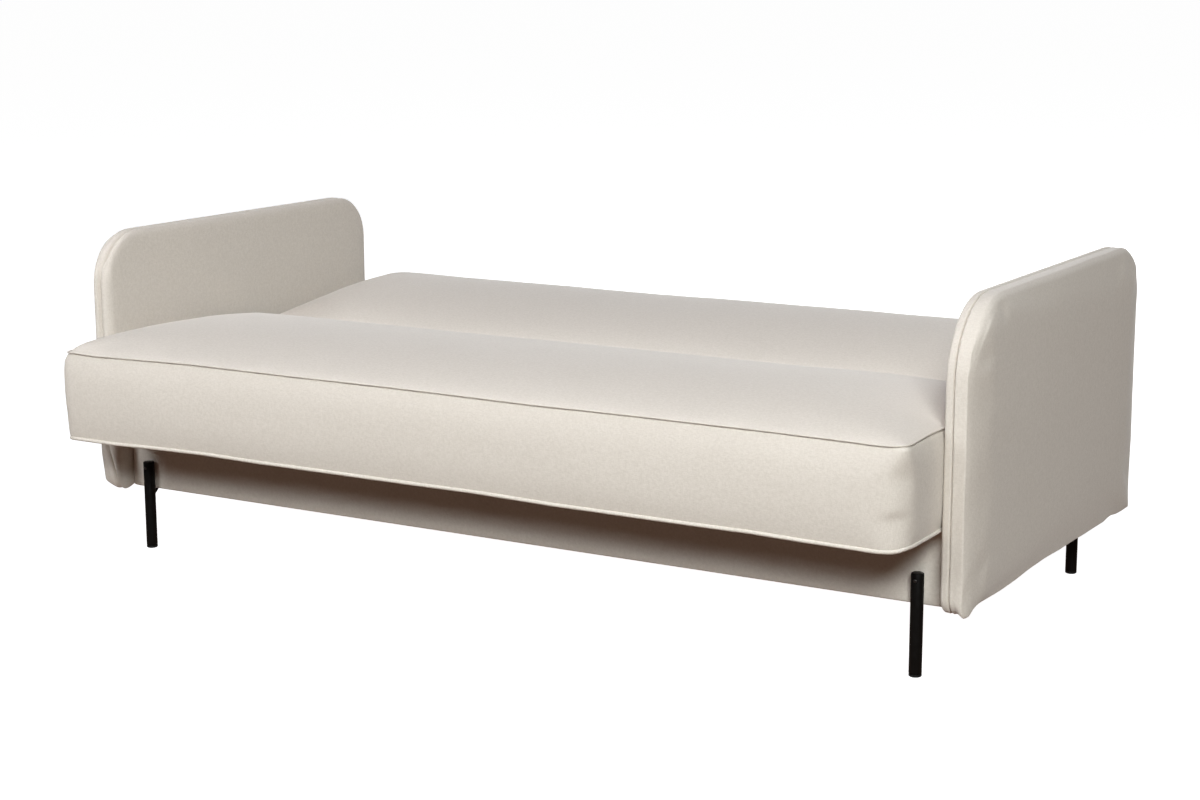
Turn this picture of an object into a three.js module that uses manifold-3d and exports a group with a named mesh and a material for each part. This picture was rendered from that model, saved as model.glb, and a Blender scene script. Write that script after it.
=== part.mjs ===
// A click clack sofa bed with two padded arms, opened flat as a bed.
// Millimetres, +Z up, the front faces -Y, origin on the floor under the middle of the arms.
import * as THREE from 'three';
import { mergeVertices } from 'three/addons/utils/BufferGeometryUtils.js';
import Module from 'manifold-3d';

const wasm = await Module();
wasm.setup();

// Overall sizes
const overallWidth = 2040;
const armDepth = 935;
const armTop = 692;
const plinthUnderside = 131;
const bedDepth = 1235;
const cushionUnderside = 278;
const cushionWallHeight = 183;

// Clearances
const seatingGap = 0.3;
const cutOverrun = 2;
const smallestCornerRadius = 1.5;

// Arms: an inner pad, a board and a thicker outer pad that wraps the board
const armThickness = 60;
const armFootStep = 9;
const armInnerPadThickness = 18;
const armBoardThickness = 18;
const armBoardInset = 16;
const armTopRadius = 130;
const armFootRadius = 30;
const armInnerRounding = 9;
const armOuterRounding = 26;
const armSeamRounding = 3;
const armFaceSwell = 5;
const armFaceSwellReach = 90;
const armFaceSwellShare = 0.75;
const armBoltRadius = 5;
const armBoltHeadRadius = 11;
const armBoltHeadHeight = 4;
const armBoltSpacing = 520;
const armBoltEdge = 17;

// Box under the bed, which holds the bedding
const plinthFrontRecess = 55;
const boxBoardThickness = 18;
const boxSideClearance = 11;
const boxFloorRise = 20;
const boxFloorThickness = 6;
const boxRailWidth = 60;
const boxRearClearance = 78;

// Legs: round steel tubes with a welded plate and a plastic glide
const legRadius = 12;
const legWall = 1.5;
const legTopRounding = 2;
const frontLegOverlap = 62;
const frontLegSideInset = 57;
const rearLegSideInset = 39;
const rearLegRearInset = 35;
const legPlateThickness = 3;
const frontPlateInnerReach = 36;
const frontPlateDepth = 52;
const rearPlateWidth = 70;
const glideFlange = 5;
const glideStem = 16;
const glideChamfer = 1.5;

// Cushions: the seat in front and the backrest behind, both box cushions with piping
const seatDepth = 623;
const cushionGap = 36;
const outerCornerRadius = 48;
const innerCornerRadius = 24;
const pipingRadius = 4;
const seamRadius = 2.5;
const sideDrawIn = 4;
const edgeRise = 10;
const edgeRiseReach = 34;
const seatCrown = 34;
const backCrown = 42;
const crownLengthPower = 6;
const crownDepthPower = 2.6;
const crownRingShares = [0.86, 0.66, 0.42, 0.16];
const edgeRingShares = [0.35, 1];
const beadTurnShares = [-1, -0.5, 0.5, 1];

// Timber frame inside each cushion, open underneath and closed by a thin cover
const cushionWallThickness = 24;
const railThickness = 22;
const railHeight = 45;
const deckThickness = 6;
const dustCoverThickness = 2;

// Hinge on each side: layers of flat steel between the cushions and the arm
const leafThickness = 2.8;
const hingeSetback = 125;
const swingLinkLength = 150;
const swingLinkLean = 30;
const swingLinkSpacing = 110;
const swingLinkEyeRadius = 15;
const hingePinRadius = 6;
const hingePinHeadRadius = 11;
const runningClearance = 0.3;
const bracketPinMargin = 34;
const baseBracketEndRadius = 13;
const leafEyeRadius = 20;
const leafEndRadius = 24;
const backLeafReach = 250;
const leafStudRadius = 4;
const leafStudSpacing = 90;
const seatStudInset = 50;
const liftPinInset = 3;
const hingeArmEndRadius = 16;

// Ratchet: a toothed sector on the hinge pin and a sprung pawl on the backrest leaf
const sectorRadius = 46;
const toothDepth = 6.4;
const sectorHubRadius = 20;
const toothPitch = 12;
const toothCount = 7;
const firstToothAngle = 11;
const toothRootWidth = 2.4;
const toothSlopeWidth = 5.2;
const sectorLead = 6;
const pawlLength = 45;
const pawlTipClearance = 0.6;
const pawlTipAngle = 12;
const pawlEyeRadius = 9;
const pawlPinRadius = 4;
const pawlTipDepth = 8;
const pawlTipRise = 6.5;
const pawlBack = 13.5;
const pawlSpringThickness = 1;
const pawlSpringRadius = 34;

const radians = THREE.MathUtils.degToRad;

// Places worked out from the sizes above
const arm = {
  outer: overallWidth / 2,
  inner: overallWidth / 2 - armThickness,
  front: -armDepth / 2,
  rear: armDepth / 2,
  bottom: plinthUnderside + armFootStep,
};
arm.seam = arm.inner + armInnerPadThickness;

// Steel layers beside each cushion's end, from its leaf out to the base bracket
const layerPitch = leafThickness + seatingGap;
const layerNames = ['leaf', 'sector', 'hingeArm', 'link', 'bracket'];
const cushionHalfLength = arm.inner - layerNames.length * layerPitch - seatingGap;
const layer = Object.fromEntries(layerNames.map((name, index) => {
  const outer = cushionHalfLength + (index + 1) * layerPitch;
  return [name, { inner: outer - leafThickness, outer }];
}));

const seat = { front: -bedDepth / 2, rear: -bedDepth / 2 + seatDepth };
seat.centre = (seat.front + seat.rear) / 2;
const back = { front: seat.rear + cushionGap, rear: bedDepth / 2 };
back.depth = back.rear - back.front;
back.centre = (back.front + back.rear) / 2;

const hinge = { y: back.front + hingeSetback, z: cushionUnderside + cushionWallHeight / 2 };
const swingBase = {
  y: hinge.y + swingLinkLength * Math.sin(radians(swingLinkLean)),
  z: hinge.z - swingLinkLength * Math.cos(radians(swingLinkLean)),
};

const box = {
  front: arm.front + plinthFrontRecess,
  innerRear: hinge.y + 2 * swingLinkLength * Math.sin(radians(swingLinkLean)) + boxRearClearance,
  halfLength: arm.inner - seatingGap,
  top: cushionUnderside - seatingGap,
  floor: plinthUnderside + boxFloorRise,
  sideTop: swingBase.z - baseBracketEndRadius - boxSideClearance,
};
box.innerFront = box.front + boxBoardThickness;
box.rear = box.innerRear + boxBoardThickness;
box.innerSide = box.halfLength - boxBoardThickness;

// Materials
const fabricColour = 0xd9d1c6;
const steelColour = 0x8f9296;
const timberColour = 0xc9a77a;
const blackColour = 0x141312;

function material(color, roughness, metalness) {
  return () => new THREE.MeshStandardMaterial({ color, roughness, metalness });
}

const fabric = material(fabricColour, 0.95, 0);
const lining = material(0x2b2a29, 0.9, 0);
const timber = material(timberColour, 0.7, 0);
const plywood = material(0xb98f5e, 0.65, 0);
const blackSteel = material(blackColour, 0.35, 0.6);
const blackPlastic = material(0x1c1c1c, 0.6, 0);
const zincSteel = material(steelColour, 0.4, 0.9);

// Solids: joining, cutting and mirroring
function toManifold(geometry) {
  const bare = geometry.clone();
  bare.deleteAttribute('normal');
  bare.deleteAttribute('uv');
  const merged = mergeVertices(bare);
  return new wasm.Manifold(new wasm.Mesh({
    numProp: 3,
    vertProperties: new Float32Array(merged.attributes.position.array),
    triVerts: new Uint32Array(merged.index.array),
  }));
}

function toGeometry(manifold) {
  const mesh = manifold.getMesh();
  const geometry = new THREE.BufferGeometry();
  geometry.setAttribute('position', new THREE.BufferAttribute(mesh.vertProperties, 3));
  geometry.setIndex(new THREE.BufferAttribute(mesh.triVerts, 1));
  return geometry;
}

function cut(geometry, tools) {
  return toGeometry(tools.reduce((rest, tool) => rest.subtract(toManifold(tool)), toManifold(geometry)));
}

function join(geometry, others) {
  return toGeometry(others.reduce((whole, other) => whole.add(toManifold(other)), toManifold(geometry)));
}

function common(geometry, other) {
  return toGeometry(toManifold(geometry).intersect(toManifold(other)));
}

function mirrored(geometry) {
  const flipped = geometry.clone();
  flipped.applyMatrix4(new THREE.Matrix4().makeScale(-1, 1, 1));
  const order = Array.from(flipped.index.array);
  for (let corner = 0; corner < order.length; corner += 3) {
    [order[corner], order[corner + 1]] = [order[corner + 1], order[corner]];
  }
  flipped.setIndex(order);
  return flipped;
}

function sided(geometry, side) {
  return side > 0 ? geometry : mirrored(mergeVertices(geometry));
}

// Basic shapes
function boxBetween(low, high) {
  const size = high.map((value, index) => value - low[index]);
  const geometry = new THREE.BoxGeometry(...size);
  return geometry.translate(...low.map((value, index) => value + size[index] / 2));
}

// A round bar along X between two x values
function barAlongX(radius, from, to, y = 0, z = 0, sides = 16) {
  const geometry = new THREE.CylinderGeometry(radius, radius, to - from, sides);
  geometry.rotateZ(Math.PI / 2);
  return geometry.translate((from + to) / 2, y, z);
}

// A shape drawn in the YZ plane, extruded along X between two x values
function plateAlongX(shape, from, to, curveSegments = 8) {
  const geometry = new THREE.ExtrudeGeometry(shape, {
    depth: to - from, bevelEnabled: false, curveSegments,
  });
  const drawn = new THREE.Matrix4().makeBasis(
    new THREE.Vector3(0, 1, 0),
    new THREE.Vector3(0, 0, 1),
    new THREE.Vector3(1, 0, 0),
  );
  return geometry.applyMatrix4(drawn).translate(from, 0, 0);
}

function circlePath(x, y, radius) {
  return new THREE.Path().absarc(x, y, radius, 0, 2 * Math.PI, true);
}

// Two round ends joined by straight edges
function strapShape(start, startRadius, end, endRadius) {
  const along = new THREE.Vector2().subVectors(end, start);
  const heading = along.angle();
  const spread = Math.acos((startRadius - endRadius) / along.length());
  const shape = new THREE.Shape();
  shape.absarc(end.x, end.y, endRadius, heading - spread, heading + spread, false);
  shape.absarc(start.x, start.y, startRadius, heading + spread, heading - spread + 2 * Math.PI, false);
  shape.closePath();
  return shape;
}

// The outline of a rectangle with rounded corners, moved inwards by an inset.
// radii and steps go round from the corner at high a, low b.
function roundedRing(rect, radii, inset, arcSteps, longSteps, shortSteps) {
  const points = [];
  const corners = [[rect.a1, rect.b0], [rect.a1, rect.b1], [rect.a0, rect.b1], [rect.a0, rect.b0]];
  const inward = [[-1, 1], [-1, -1], [1, -1], [1, 1]];
  const arcs = corners.map(([a, b], index) => {
    const radius = Math.max(radii[index] - inset, smallestCornerRadius);
    const centre = [a + inward[index][0] * (inset + radius), b + inward[index][1] * (inset + radius)];
    return Array.from({ length: arcSteps + 1 }, (_, step) => {
      const angle = (index - 1 + step / arcSteps) * Math.PI / 2;
      return new THREE.Vector2(centre[0] + radius * Math.cos(angle), centre[1] + radius * Math.sin(angle));
    });
  });
  arcs.forEach((arc, index) => {
    points.push(...arc);
    const last = arc[arc.length - 1];
    const next = arcs[(index + 1) % arcs.length][0];
    const steps = index % 2 === 0 ? shortSteps : longSteps;
    for (let step = 1; step < steps; step += 1) {
      points.push(last.clone().lerp(next, step / steps));
    }
  });
  return points;
}

// A closed skin over rings of equally many points, with a fan of faces on each end
function loft(rings) {
  const count = rings[0].length;
  const vertices = rings.flat();
  const faces = [];
  for (let ring = 0; ring + 1 < rings.length; ring += 1) {
    for (let point = 0; point < count; point += 1) {
      const here = ring * count + point;
      const beside = ring * count + (point + 1) % count;
      faces.push(here, beside, here + count, beside, beside + count, here + count);
    }
  }
  const middle = (ring) => ring.reduce((sum, point) => sum.add(point), new THREE.Vector3())
    .divideScalar(count);
  const lastStart = (rings.length - 1) * count;
  vertices.push(middle(rings[0]), middle(rings[rings.length - 1]));
  const firstCentre = vertices.length - 2;
  const lastCentre = vertices.length - 1;
  for (let point = 0; point < count; point += 1) {
    const next = (point + 1) % count;
    faces.push(firstCentre, next, point);
    faces.push(lastCentre, lastStart + point, lastStart + next);
  }
  const geometry = new THREE.BufferGeometry();
  geometry.setFromPoints(vertices);
  geometry.setIndex(faces);
  return geometry;
}

// The object, with one group for each part that moves as one
const sofaBed = new THREE.Group();

function group(parent, x = 0, y = 0, z = 0) {
  const holder = new THREE.Group();
  holder.position.set(x, y, z);
  parent.add(holder);
  return holder;
}

function addPiece(parent, name, geometry, makeMaterial, x = 0, y = 0, z = 0) {
  const mesh = new THREE.Mesh(geometry, makeMaterial());
  mesh.name = name;
  mesh.position.set(x, y, z);
  parent.add(mesh);
}

const sides = [{ word: 'left', sign: -1 }, { word: 'right', sign: 1 }];

// Arms
const armBoltHeight = arm.bottom + armBoardInset + armBoltEdge;
const armBoltPlaces = [-armBoltSpacing / 2, armBoltSpacing / 2];

function armRing(x, inset) {
  const rect = { a0: arm.front, a1: arm.rear, b0: arm.bottom, b1: armTop };
  const radii = [armFootRadius, armTopRadius, armTopRadius, armFootRadius];
  return roundedRing(rect, radii, inset, 7, 1, 1).map((point) => new THREE.Vector3(x, point.x, point.y));
}

// Rings that turn a square edge into a quarter round, from the side wall to the face
function roundingRings(faceX, direction, rounding, steps) {
  return Array.from({ length: steps + 1 }, (_, step) => {
    const angle = step / steps * Math.PI / 2;
    return armRing(faceX - direction * rounding * (1 - Math.sin(angle)), rounding * (1 - Math.cos(angle)));
  });
}

function armInnerPad() {
  const rings = [
    armRing(arm.seam, armSeamRounding),
    armRing(arm.seam - armSeamRounding, 0),
    ...roundingRings(arm.inner, -1, armInnerRounding, 3),
  ];
  const holes = armBoltPlaces.map((y) => barAlongX(
    armBoltRadius + seatingGap, arm.inner - cutOverrun, arm.seam + cutOverrun, y, armBoltHeight,
  ));
  return cut(loft(rings.reverse()), holes);
}

function armBoardShape(inset) {
  const points = roundedRing(
    { a0: arm.front, a1: arm.rear, b0: arm.bottom, b1: armTop },
    [armFootRadius, armTopRadius, armTopRadius, armFootRadius],
    inset, 6, 1, 1,
  );
  return new THREE.Shape(points);
}

function armBoard() {
  const from = arm.seam + seatingGap;
  const board = plateAlongX(armBoardShape(armBoardInset), from, from + armBoardThickness);
  const holes = armBoltPlaces.map((y) => barAlongX(
    armBoltRadius + seatingGap, from - cutOverrun, from + armBoardThickness + cutOverrun, y, armBoltHeight,
  ));
  return cut(board, holes);
}

function armOuterPad() {
  const from = arm.seam + seatingGap;
  const edgeFace = arm.outer - armFaceSwell;
  const rings = [
    armRing(from, armSeamRounding),
    armRing(from + armSeamRounding, 0),
    ...roundingRings(edgeFace, 1, armOuterRounding, 5),
    armRing(edgeFace + armFaceSwell * armFaceSwellShare, armOuterRounding + armFaceSwellReach / 2),
    armRing(arm.outer, armOuterRounding + armFaceSwellReach),
  ];
  const pocketEnd = from + armBoardThickness + seatingGap;
  const pocket = plateAlongX(armBoardShape(armBoardInset - seatingGap), from - cutOverrun, pocketEnd);
  return cut(loft(rings), [pocket]);
}

function armBolt() {
  const head = box.innerSide - seatingGap;
  const tip = arm.seam + seatingGap + armBoardThickness;
  return join(
    barAlongX(armBoltHeadRadius, head - armBoltHeadHeight, head, 0, 0, 20),
    [barAlongX(armBoltRadius, head - armBoltHeadHeight / 2, tip)],
  );
}

function addArm({ word, sign }) {
  addPiece(sofaBed, `${word}_arm_inner_pad`, sided(armInnerPad(), sign), fabric);
  addPiece(sofaBed, `${word}_arm_board`, sided(armBoard(), sign), timber);
  addPiece(sofaBed, `${word}_arm_outer_pad`, sided(armOuterPad(), sign), fabric);
  ['front', 'rear'].forEach((place, index) => {
    addPiece(
      sofaBed, `${word}_arm_bolt_${place}`, sided(armBolt(), sign), zincSteel,
      0, armBoltPlaces[index], armBoltHeight,
    );
  });
}

// Bedding box
function addBox() {
  const long = (front, rear, top) => boxBetween(
    [-box.halfLength, front, plinthUnderside],
    [box.halfLength, rear, top],
  );
  addPiece(sofaBed, 'plinth_front_panel', long(box.front, box.innerFront, box.top), fabric);
  addPiece(sofaBed, 'plinth_rear_panel', long(box.innerRear, box.rear, box.top), fabric);

  const insideFront = box.innerFront + seatingGap;
  const insideRear = box.innerRear - seatingGap;
  sides.forEach(({ word, sign }) => {
    const panel = boxBetween(
      [box.innerSide, insideFront, plinthUnderside],
      [box.halfLength, insideRear, box.sideTop],
    );
    const holes = armBoltPlaces.map((y) => barAlongX(
      armBoltRadius + seatingGap, box.innerSide - cutOverrun, box.halfLength + cutOverrun, y, armBoltHeight,
    ));
    addPiece(sofaBed, `box_${word}_panel`, sided(cut(panel, holes), sign), timber);
  });

  const floorEdge = box.innerSide - seatingGap;
  addPiece(sofaBed, 'box_floor', boxBetween(
    [-floorEdge, insideFront, box.floor],
    [floorEdge, insideRear, box.floor + boxFloorThickness],
  ), plywood);
  addPiece(sofaBed, 'box_centre_rail', boxBetween(
    [-boxRailWidth / 2, insideFront, plinthUnderside],
    [boxRailWidth / 2, insideRear, box.floor - seatingGap],
  ), timber);
}

// Legs
const legPlateTop = plinthUnderside - seatingGap;

function legTube(top) {
  const inner = legRadius - legWall;
  const profile = [
    new THREE.Vector2(inner, glideFlange),
    new THREE.Vector2(legRadius, glideFlange),
    new THREE.Vector2(legRadius, top - legTopRounding),
    new THREE.Vector2(legRadius - legTopRounding, top),
    new THREE.Vector2(0, top),
    new THREE.Vector2(0, top - legWall),
    new THREE.Vector2(inner, top - legWall),
    new THREE.Vector2(inner, glideFlange),
  ];
  return new THREE.LatheGeometry(profile, 24).rotateX(Math.PI / 2);
}

// The front leg stands before the plinth, and its plate reaches back under it
function frontLeg() {
  const plate = boxBetween(
    [-frontPlateInnerReach, 0, legPlateTop - legPlateThickness],
    [legRadius + legWall, legRadius + frontPlateDepth, legPlateTop],
  );
  const bore = new THREE.CylinderGeometry(
    legRadius - legWall / 2, legRadius - legWall / 2, 2 * legPlateThickness, 24,
  ).rotateX(Math.PI / 2).translate(0, 0, legPlateTop - legPlateThickness / 2);
  return join(legTube(plinthUnderside + frontLegOverlap), [cut(plate, [bore])]);
}

function rearLeg() {
  const half = rearPlateWidth / 2;
  const plate = boxBetween(
    [-half, -half, legPlateTop - legPlateThickness],
    [half, half, legPlateTop],
  );
  return join(legTube(legPlateTop - legPlateThickness / 2), [plate]);
}

function glide() {
  const stem = legRadius - legWall - seatingGap;
  const profile = [
    new THREE.Vector2(0, 0),
    new THREE.Vector2(legRadius - glideChamfer, 0),
    new THREE.Vector2(legRadius, glideChamfer),
    new THREE.Vector2(legRadius, glideFlange - seatingGap),
    new THREE.Vector2(stem, glideFlange - seatingGap),
    new THREE.Vector2(stem, glideStem),
    new THREE.Vector2(0, glideStem),
  ];
  return new THREE.LatheGeometry(profile, 24).rotateX(Math.PI / 2);
}

function addLegs() {
  const frontY = box.front - legRadius - seatingGap;
  const rearY = box.rear - rearLegRearInset;
  sides.forEach(({ word, sign }) => {
    const frontX = sign * (box.halfLength - frontLegSideInset);
    const rearX = sign * (box.halfLength - rearLegSideInset);
    addPiece(sofaBed, `front_${word}_leg`, sided(frontLeg(), sign), blackSteel, frontX, frontY);
    addPiece(sofaBed, `front_${word}_glide`, glide(), blackPlastic, frontX, frontY);
    addPiece(sofaBed, `rear_${word}_leg`, rearLeg(), blackSteel, rearX, rearY);
    addPiece(sofaBed, `rear_${word}_glide`, glide(), blackPlastic, rearX, rearY);
  });
}

// Cushions, each drawn about its middle with its underside at zero
const deckUnderside = dustCoverThickness + railHeight + 2 * seatingGap;
const recessHeight = deckUnderside + deckThickness + seatingGap;

// Sides pull in between the corners, most in the middle of a long side
function drawnIn(x, y, half) {
  const pull = sideDrawIn * (1 - (x / cushionHalfLength) ** 2);
  return y - Math.sign(y) * pull * (Math.abs(y) / half) ** 2;
}

function crownHeight(x, y, half, inset, crown) {
  const edge = Math.min(inset / edgeRiseReach, 1);
  const lengthShare = 1 - Math.min(Math.abs(x) / cushionHalfLength, 1) ** crownLengthPower;
  const depthShare = 1 - Math.min(Math.abs(y) / half, 1) ** crownDepthPower;
  return cushionWallHeight + edgeRise * (1 - (1 - edge) ** 2) + crown * lengthShare * depthShare;
}

// Half a round bead on the wall: ring heights and insets from its foot to its top
function beadRings(centre, radius) {
  return beadTurnShares.map((turnShare) => ({
    z: centre + radius * Math.sin(turnShare * Math.PI / 2),
    inset: -radius * Math.cos(turnShare * Math.PI / 2),
  }));
}

function cushionGeometry(depth, crown, frontRadius, rearRadius) {
  const half = depth / 2;
  const rect = { a0: -cushionHalfLength, a1: cushionHalfLength, b0: -half, b1: half };
  const radii = [frontRadius, rearRadius, rearRadius, frontRadius];
  const outline = (inset) => roundedRing(rect, radii, inset, 5, 10, 4);
  const place = (points, height) => points.map(
    (point) => new THREE.Vector3(point.x, drawnIn(point.x, point.y, half), height(point)),
  );

  const walls = [...beadRings(pipingRadius, pipingRadius), ...beadRings(cushionWallHeight, seamRadius)];
  const rings = walls.map(({ z, inset }) => place(outline(inset), () => z));
  edgeRingShares.forEach((share) => {
    const inset = edgeRiseReach * share;
    rings.push(place(outline(inset), (point) => crownHeight(point.x, point.y, half, inset, crown)));
  });
  const innermost = outline(edgeRiseReach);
  crownRingShares.forEach((share) => {
    const shrunk = innermost.map((point) => point.clone().multiplyScalar(share));
    rings.push(place(shrunk, (point) => crownHeight(point.x, point.y, half, edgeRiseReach, crown)));
  });
  return loft(rings);
}

// Lift pin at the seat's rear edge and the leaves' studs, along Y from the hinge pin
const liftPin = -(hingeSetback + cushionGap + liftPinInset);
const seatStuds = [liftPin - seatStudInset - leafStudSpacing, liftPin - seatStudInset];
const backStuds = [backLeafReach - leafStudSpacing, backLeafReach];

function addCushion(prefix, place, depth, crown, frontRadius, rearRadius, studs) {
  const holder = group(sofaBed, 0, place, cushionUnderside);
  const recessX = cushionHalfLength - cushionWallThickness;
  const recessY = depth / 2 - cushionWallThickness;
  const frameX = recessX - seatingGap;
  const frameY = recessY - seatingGap;
  const studHeight = hinge.z - cushionUnderside;

  const recess = boxBetween([-recessX, -recessY, -cutOverrun], [recessX, recessY, recessHeight]);
  const studHoles = studs.flatMap((y) => sides.map(({ sign }) => {
    const reach = [sign * (frameX - railThickness), sign * (cushionHalfLength + cutOverrun)];
    return barAlongX(
      leafStudRadius + seatingGap, Math.min(...reach), Math.max(...reach), hinge.y + y - place, studHeight,
    );
  }));
  const cushion = cut(cushionGeometry(depth, crown, frontRadius, rearRadius), [recess, ...studHoles]);
  addPiece(holder, `${prefix}_cushion`, cushion, fabric);

  const railFoot = dustCoverThickness + seatingGap;
  const railTop = railFoot + railHeight;
  [['front', -1], ['rear', 1]].forEach(([word, sign]) => {
    const edges = [sign * frameY, sign * (frameY - railThickness)];
    addPiece(holder, `${prefix}_frame_${word}_rail`, boxBetween(
      [-frameX, Math.min(...edges), railFoot],
      [frameX, Math.max(...edges), railTop],
    ), timber);
  });
  const between = frameY - railThickness - seatingGap;
  sides.forEach(({ word, sign }) => {
    const edges = [sign * frameX, sign * (frameX - railThickness)];
    addPiece(holder, `${prefix}_frame_${word}_rail`, boxBetween(
      [Math.min(...edges), -between, railFoot],
      [Math.max(...edges), between, railTop],
    ), timber);
  });
  addPiece(holder, `${prefix}_frame_middle_rail`, boxBetween(
    [-railThickness / 2, -between, railFoot],
    [railThickness / 2, between, railTop],
  ), timber);
  addPiece(holder, `${prefix}_deck`, boxBetween(
    [-frameX, -frameY, deckUnderside],
    [frameX, frameY, deckUnderside + deckThickness],
  ), plywood);
  addPiece(holder, `${prefix}_dust_cover`, boxBetween(
    [-frameX, -frameY, 0],
    [frameX, frameY, dustCoverThickness],
  ), lining);
}

// Hinge pieces, drawn about the hinge pin in the YZ plane
const origin = new THREE.Vector2(0, 0);

function polar(radius, degrees) {
  return new THREE.Vector2(radius, 0).rotateAround(origin, radians(degrees));
}

const pawlTip = polar(sectorRadius + pawlTipClearance, pawlTipAngle);
const pawlPin = pawlTip.clone().add(polar(pawlLength, pawlTipAngle + 90));

function studBars(studs, fromX, toX) {
  return studs.map((y) => barAlongX(leafStudRadius, fromX, toX, y));
}

const studEnd = cushionHalfLength - cushionWallThickness + cutOverrun;

// Flat leaf on the seat's end, drawn about the lift pin
function seatLeaf() {
  const { inner, outer } = layer.leaf;
  const studs = seatStuds.map((y) => y - liftPin);
  const shape = strapShape(origin, leafEyeRadius, new THREE.Vector2(studs[0], 0), leafEndRadius);
  shape.holes.push(circlePath(0, 0, hingePinRadius + runningClearance));
  return join(plateAlongX(shape, inner, outer), studBars(studs, studEnd, outer));
}

// The backrest leaf lies on the backrest's end, with a lobe for the pawl's pin
function backLeaf() {
  const { inner, outer } = layer.leaf;
  const end = new THREE.Vector2(backStuds[1], 0);
  const bar = strapShape(origin, leafEyeRadius, end, leafEndRadius);
  const lobe = strapShape(origin, leafEyeRadius, pawlPin, pawlEyeRadius + pawlPinRadius);
  const blank = join(plateAlongX(bar, inner, outer), [plateAlongX(lobe, inner, outer)]);
  const bore = barAlongX(hingePinRadius + runningClearance, inner - cutOverrun, outer + cutOverrun);
  const pin = barAlongX(pawlPinRadius, inner, layer.sector.outer, pawlPin.x, pawlPin.y);
  return join(cut(blank, [bore]), [pin, ...studBars(backStuds, studEnd, outer)]);
}

function sectorShape() {
  const shape = new THREE.Shape();
  const start = polar(sectorRadius, firstToothAngle - sectorLead);
  shape.moveTo(start.x, start.y);
  for (let tooth = 0; tooth < toothCount; tooth += 1) {
    const face = firstToothAngle + tooth * toothPitch;
    [
      polar(sectorRadius, face),
      polar(sectorRadius - toothDepth, face),
      polar(sectorRadius - toothDepth, face + toothRootWidth),
      polar(sectorRadius, face + toothRootWidth + toothSlopeWidth),
    ].forEach((point) => shape.lineTo(point.x, point.y));
  }
  const finish = firstToothAngle + toothCount * toothPitch;
  const end = polar(sectorRadius, finish);
  shape.lineTo(end.x, end.y);
  const hubStart = radians(finish + 3 * sectorLead);
  const hubEnd = radians(firstToothAngle - 3 * sectorLead + 360);
  shape.absarc(0, 0, sectorHubRadius, hubStart, hubEnd, false);
  shape.closePath();
  return shape;
}

// Level arm that carries the toothed sector, the backrest, the lifting seat and both links
function hingeArm() {
  const { inner, outer } = layer.hingeArm;
  const strap = strapShape(origin, leafEyeRadius, new THREE.Vector2(liftPin, 0), hingeArmEndRadius);
  const linkPin = (y, from) => [
    barAlongX(hingePinRadius, from, layer.bracket.inner + leafThickness / 2, y),
    barAlongX(hingePinHeadRadius, layer.bracket.inner, layer.bracket.outer, y, 0, 20),
  ];
  return join(plateAlongX(strap, inner, outer), [
    plateAlongX(sectorShape(), layer.sector.inner, layer.sector.outer),
    ...linkPin(0, layer.leaf.inner),
    ...linkPin(-swingLinkSpacing, inner),
    barAlongX(hingePinRadius, layer.leaf.inner, outer - leafThickness / 2, liftPin),
    barAlongX(hingePinHeadRadius, layer.sector.inner, inner + leafThickness / 2, liftPin, 0, 20),
  ]);
}

// Pawl, drawn about its pin with its length pointing at the teeth
function pawlGeometry() {
  const { inner, outer } = layer.sector;
  const along = pawlTip.clone().sub(pawlPin).normalize();
  const inward = new THREE.Vector2(along.y, -along.x);
  const at = (length, offset) => along.clone().multiplyScalar(length).addScaledVector(inward, offset);
  const lever = new THREE.Shape([
    at(0, pawlEyeRadius / 2),
    at(0, -pawlEyeRadius),
    at(pawlLength - pawlTipDepth, -pawlBack),
    at(pawlLength, -pawlTipDepth),
    at(pawlLength, 0),
    at(pawlLength - pawlTipRise, -pawlTipRise),
  ]);
  const eye = new THREE.Shape().absarc(0, 0, pawlEyeRadius, 0, 2 * Math.PI, false);
  const blank = join(plateAlongX(lever, inner, outer), [plateAlongX(eye, inner, outer)]);
  return cut(blank, [barAlongX(pawlPinRadius + runningClearance, inner - cutOverrun, outer + cutOverrun)]);
}

// Flat spring that lies behind the pawl
function pawlSpring() {
  const { inner, outer } = layer.sector;
  const along = pawlTip.clone().sub(pawlPin).normalize();
  const outward = new THREE.Vector2(-along.y, along.x);
  const contact = along.clone().multiplyScalar(pawlLength - pawlTipDepth)
    .addScaledVector(outward, pawlBack + seatingGap);
  const middle = contact.clone().addScaledVector(outward, pawlSpringRadius);
  const start = Math.atan2(-outward.y, -outward.x);
  const shape = new THREE.Shape();
  shape.absarc(middle.x, middle.y, pawlSpringRadius, start, start + Math.PI / 2, false);
  shape.absarc(middle.x, middle.y, pawlSpringRadius - pawlSpringThickness, start + Math.PI / 2, start, true);
  shape.closePath();
  return plateAlongX(shape, inner, outer);
}

function swingLink() {
  const foot = new THREE.Vector2(0, 0);
  const head = new THREE.Vector2(hinge.y - swingBase.y, hinge.z - swingBase.z);
  const shape = strapShape(foot, swingLinkEyeRadius, head, swingLinkEyeRadius);
  [foot, head].forEach((eye) => {
    shape.holes.push(circlePath(eye.x, eye.y, hingePinRadius + runningClearance));
  });
  return plateAlongX(shape, layer.link.inner, layer.link.outer);
}

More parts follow.
